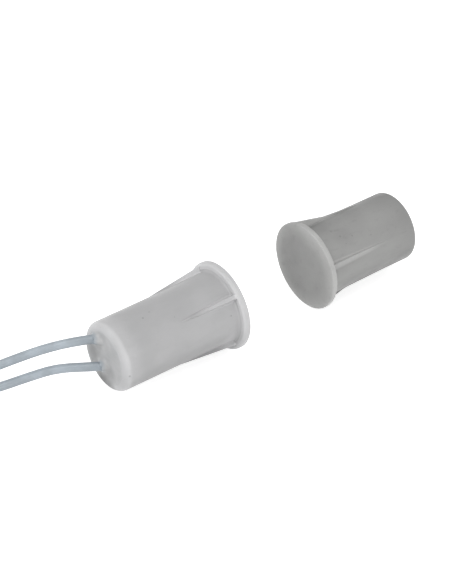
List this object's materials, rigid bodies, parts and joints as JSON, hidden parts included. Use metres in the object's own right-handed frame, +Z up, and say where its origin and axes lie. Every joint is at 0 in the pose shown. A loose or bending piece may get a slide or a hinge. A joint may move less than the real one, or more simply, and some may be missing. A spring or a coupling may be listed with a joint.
{
  "type": "recessed magnetic contact",
  "caption": "Recessed magnetic door contact: wired reed switch half and magnet half, face to face, each a flanged barrel with tapering fins.",
  "frame": {"origin": "on the common axis, at the middle of the switch barrel's plain stretch", "axes": "+X along the common axis from the switch half to the magnet half, +Z up, wires leave towards -X"},
  "size_m": [0.0977, 0.0155, 0.012],
  "materials": {
    "switch_plastic": "fine moulded grey ABS with faint mottling",
    "magnet_plastic": "fine moulded darker grey ABS with faint mottling",
    "resin": "self-levelled grey potting resin",
    "wire_jacket": "smooth blue-grey PVC insulation",
    "tinned_copper": "tinned strands, soft shine",
    "copper": "bare stranded copper",
    "glass": "clear, faintly green",
    "reed_alloy": "plated nickel-iron",
    "sleeve": "soft silicone",
    "solder": "bright tin solder",
    "magnet_alloy": "ground cast magnet alloy",
    "tie_plastic": "natural nylon"
  },
  "bodies": {
    "root": {"switch_housing": "switch_plastic", "potting": "resin", "capsule_glass": "glass", "reed_front": "reed_alloy", "reed_rear": "reed_alloy", "capsule_sleeve": "sleeve", "return_sleeve": "sleeve", "solder_joint_a": "solder", "solder_joint_b": "solder", "conductor_a": "copper", "conductor_b": "copper", "wire_a": "wire_jacket", "wire_b": "wire_jacket", "wire_hank": "wire_jacket", "hank_tie": "tie_plastic", "tail_a": "wire_jacket", "tail_b": "wire_jacket", "tip_a": "tinned_copper", "tip_b": "tinned_copper", "magnet_housing": "magnet_plastic", "bar_magnet": "magnet_alloy", "magnet_potting": "resin"}
  },
  "joints": []
}
